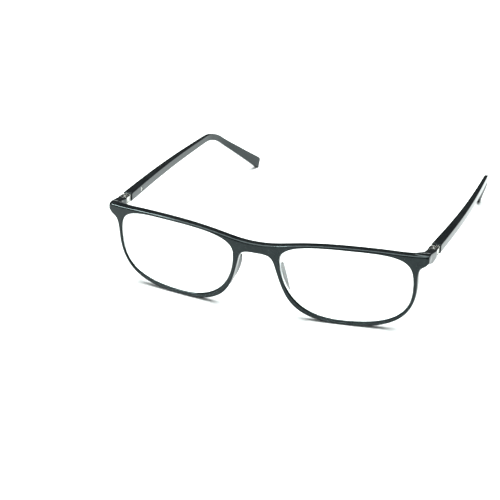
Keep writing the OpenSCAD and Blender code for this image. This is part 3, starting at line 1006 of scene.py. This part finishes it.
def temple_ring(y, z, drop, turn, width, height):
    """Section of a temple: a rounded rectangle, square to its middle line."""
    x = middle_x(y)
    ring = []
    for i in range(SECTION_N):
        c, s = (f(2 * math.pi * i / SECTION_N) for f in (math.cos, math.sin))
        across = math.copysign(abs(c) ** SECTION_POWER, c) * width / 2
        up = math.copysign(abs(s) ** SECTION_POWER, s) * height / 2
        ring.append(Vector((
            x + across * math.cos(turn),
            y + across * math.sin(turn) + up * math.sin(drop),
            z + up * math.cos(drop),
        )))
    return ring


def ear_ring(s, width, height):
    """Section of the ear piece, s along it from the corner of the bend."""
    y = CORNER_Y + s * math.cos(EAR_DROP)
    z = BEND_TOP_Z - BEND_H / 2 - s * math.sin(EAR_DROP)
    return temple_ring(y, z, EAR_DROP, turn_angle(y), width, height)


def temple_rings():
    """Sections from the front end over the bend to the rounded tip."""
    rings = []
    arm = ARM_LEN - BEND_RUN
    front_edge = [(0.0, 0.3), (0.08, 0.1), (0.25, 0.0)]
    for y, draw_in in front_edge + [(arm * i / ARM_STEPS, 0.0) for i in range(1, ARM_STEPS + 1)]:
        t = y / arm
        height = TEMPLE_H + (BEND_H - TEMPLE_H) * t * t
        width = TEMPLE_W + (BEND_W - TEMPLE_W) * t
        z = TEMPLE_TOP_Z + ARM_RISE * t - height / 2
        rings.append(temple_ring(TEMPLE_Y + y, z, 0, 0, width - draw_in, height - draw_in))
    for i in range(1, BEND_STEPS + 1):
        a = EAR_DROP * i / BEND_STEPS
        y = TURN_START + BEND_R * math.sin(a)
        z = BEND_TOP_Z - BEND_H / 2 - BEND_R * (1 - math.cos(a))
        rings.append(temple_ring(y, z, a, turn_angle(y), BEND_W, BEND_H))
    for i in range(1, EAR_STEPS + 1):
        t = i / EAR_STEPS
        width = BEND_W + (TIP_W - BEND_W) * t
        height = BEND_H + (TIP_H - BEND_H) * t ** 1.3
        rings.append(ear_ring(BEND_RUN + t * (EAR_LEN - TIP_ROUND - BEND_RUN), width, height))
    for degrees in (12, 24, 36, 48, 60, 72, 80):
        a = math.radians(degrees)
        width = TIP_W - TIP_NARROWING * (1 - math.cos(a))
        height = TIP_H - TIP_LOWERING * (1 - math.cos(a))
        rings.append(ear_ring(EAR_LEN - TIP_ROUND * (1 - math.sin(a)), width, height))
    return rings


def add_temple(side):
    """Moulded temple, its pocket for the spring housing and the window over the housing's end."""
    obj = sweep("temple", temple_rings())
    pocket = housing_outline(SEAT_FIT, TEMPLE_Y - 1)
    window = housing_outline(SEAT_FIT, ROUND_END_Y - 1)
    inner, outer = HOUSING_X0 - SEAT_FIT, HOUSING_X0 + HOUSING + SEAT_FIT
    tools = [
        prism("pocket", pocket, inner, outer, along_x),
        prism("window", window, HOUSING_X0 - 2, HOUSING_X0 + 1, along_x),
    ]
    combined(obj, tools, "DIFFERENCE")
    shaded(piece(obj, side, "temple", "arm", "black_plastic", PLASTIC), 40)


# ---- Stage ----

CAMERA_TARGET = Vector((-0.00153, -0.07873, 0.02968))
CAMERA_DISTANCE = 0.565
CAMERA_AZIMUTH = math.radians(20.83)
CAMERA_ELEVATION = math.radians(25.00)
CAMERA_ROLL = math.radians(0.863)
CAMERA_LENS = 103.06
SOFTBOX_COLOUR = (0.94, 1.0, 0.985)


def add_camera():
    """Camera from the front, above and to the wearer's left, with a long lens."""
    a, e = CAMERA_AZIMUTH, CAMERA_ELEVATION
    out = Vector((math.sin(a) * math.cos(e), -math.cos(a) * math.cos(e), math.sin(e)))
    right = Vector((math.cos(a), math.sin(a), 0))
    up = out.cross(right)
    turn = Matrix((right, up, out)).transposed().to_4x4() @ Matrix.Rotation(CAMERA_ROLL, 4, "Z")
    camera = bpy.data.objects.new("camera", bpy.data.cameras.new("camera"))
    camera.matrix_world = Matrix.Translation(CAMERA_TARGET + out * CAMERA_DISTANCE) @ turn
    camera.data.lens = CAMERA_LENS
    camera.data.sensor_width = 36
    camera.data.clip_start = 0.01
    bpy.context.scene.collection.objects.link(camera)
    bpy.context.scene.camera = camera


def add_floor():
    """Plain white floor under the glasses, at the height of their feet."""
    half = 2.5
    z = CAD_BOX[0][2]
    corners = [(-half, -half, z), (half, -half, z), (half, half, z), (-half, half, z)]
    floor = new_object("floor", corners, [(0, 1, 2, 3)])
    made, shader, where = material("floor_paper", (0.9, 0.9, 0.9), 0.8)
    vary_colour(made, noise(made, where, 40), shader.inputs["Base Color"],
                (0.89, 0.89, 0.89), (0.91, 0.91, 0.91))
    shader.inputs["Specular IOR Level"].default_value = 0.1
    floor.data.materials.append(made)


def add_light(name, place, aim, size, power):
    """Square softbox at a place, pointed at aim; power in watts."""
    light = bpy.data.lights.new(name, "AREA")
    light.shape = "SQUARE"
    light.size = size
    light.energy = power
    light.color = SOFTBOX_COLOUR
    box_light = bpy.data.objects.new(name, light)
    box_light.location = place
    box_light.rotation_mode = "QUATERNION"
    box_light.rotation_quaternion = (Vector(aim) - Vector(place)).to_track_quat("-Z", "Y")
    bpy.context.scene.collection.objects.link(box_light)
    return box_light


def add_lights():
    """Large softbox overhead, a lower one in front, one that only glints on edges, dim surroundings."""
    add_light("softbox_top", (0.0, 0.1, 1.3), (0, 0, 0), 1.6, 58)
    add_light("softbox_front", (-0.8, -1.2, 0.9), (0, 0, 0), 0.9, 8)
    add_light("softbox_edge", (-0.8, -0.15, 1.1), (0, 0, 0), 0.4, 30).visible_diffuse = False
    world = bpy.data.worlds.new("studio")
    world.use_nodes = True
    backdrop = world.node_tree.nodes["Background"]
    backdrop.inputs["Color"].default_value = (0.9, 0.95, 1.0, 1)
    backdrop.inputs["Strength"].default_value = 0.06
    bpy.context.scene.world = world
    bpy.context.scene.view_settings.view_transform = "Standard"


# ---- Build ----

add_camera()
add_floor()
add_lights()
add_front()
for side in (LEFT, RIGHT):
    add_lens(side)
    add_leaf(side)
    add_rivet(side)
    add_screw(side)
    add_tongue(side)
    add_housing(side)
    add_spring(side)
    add_retainer(side)
    add_pin(side)
    add_temple(side)
